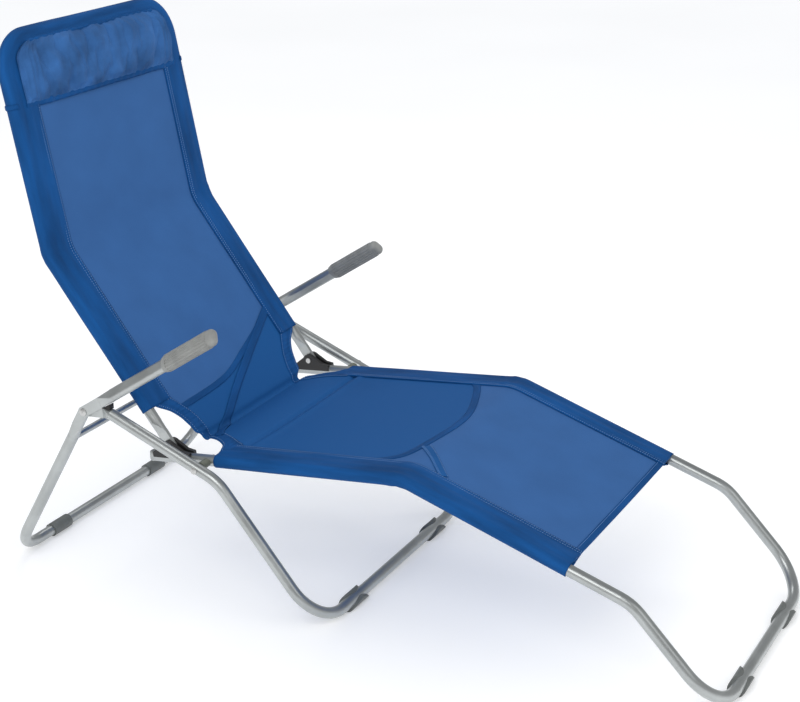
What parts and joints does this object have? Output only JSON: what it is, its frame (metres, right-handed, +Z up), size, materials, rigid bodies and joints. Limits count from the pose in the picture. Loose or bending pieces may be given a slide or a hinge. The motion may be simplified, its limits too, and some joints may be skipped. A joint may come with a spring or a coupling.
{
  "type": "folding beach chair",
  "caption": "Folding beach lounger: bent-tube leg, seat and back frames under a textile sling with a head pillow, armrests with grips, and a leg rest.",
  "frame": {"origin": "on the floor, at the centre of the bounding box", "axes": "+Z up, -Y towards the foot end that the sitter faces, +X to the sitter's left; symmetric about X = 0"},
  "size_m": [0.5952, 1.3494, 0.9596],
  "materials": {
    "frame_metal": "satin drawn tube",
    "rivet_steel": "satin",
    "grip_plastic": "moulded, fluted",
    "foot_plastic": "moulded",
    "hinge_plastic": "moulded",
    "bumper_rubber": "matt",
    "spacer_plastic": "moulded",
    "sling_cloth": "coated mesh weave",
    "hem_cloth": "coated mesh weave, doubled",
    "pillow_cloth": "open mesh over padding"
  },
  "bodies": {
    "front_leg_frame": {"front_leg_tube": "frame_metal", "front_foot_left": "foot_plastic", "front_foot_right": "foot_plastic", "arm_bumper_left": "bumper_rubber", "arm_bumper_right": "bumper_rubber", "leg_rivets": "rivet_steel", "seat_rivets": "rivet_steel", "seat_spacers": "spacer_plastic"},
    "rear_leg_frame": {"rear_leg_tube": "frame_metal", "cross_rod": "frame_metal", "rear_foot_left": "foot_plastic", "rear_foot_right": "foot_plastic", "grip_left": "grip_plastic", "grip_right": "grip_plastic", "grip_cap_left": "grip_plastic", "grip_cap_right": "grip_plastic"},
    "seat_frame": {"seat_tube": "frame_metal", "toe_foot_left": "foot_plastic", "toe_foot_right": "foot_plastic", "hinge_block_left": "hinge_plastic", "hinge_block_right": "hinge_plastic", "hinge_pins": "rivet_steel", "seat_hem_left": "hem_cloth", "seat_hem_right": "hem_cloth", "seat_sling": "sling_cloth"},
    "back_frame": {"back_tube": "frame_metal", "back_hem": "hem_cloth", "back_sling": "sling_cloth", "head_pillow": "pillow_cloth"}
  },
  "joints": [
    {"name": "rear_leg_fold", "type": "hinge", "parent": "front_leg_frame", "child": "rear_leg_frame", "pos_m": [0, 0.48013, 0.324], "axis": [-1, 0, 0], "range_deg": [0, 85]},
    {"name": "seat_tilt", "type": "hinge", "parent": "front_leg_frame", "child": "seat_frame", "pos_m": [0, 0.25336, 0.2593], "axis": [-1, 0, 0], "range_deg": [0, 34]},
    {"name": "back_fold", "type": "hinge", "parent": "seat_frame", "child": "back_frame", "pos_m": [0, 0.33166, 0.27181], "axis": [1, 0, 0], "range_deg": [0, 100]}
  ]
}
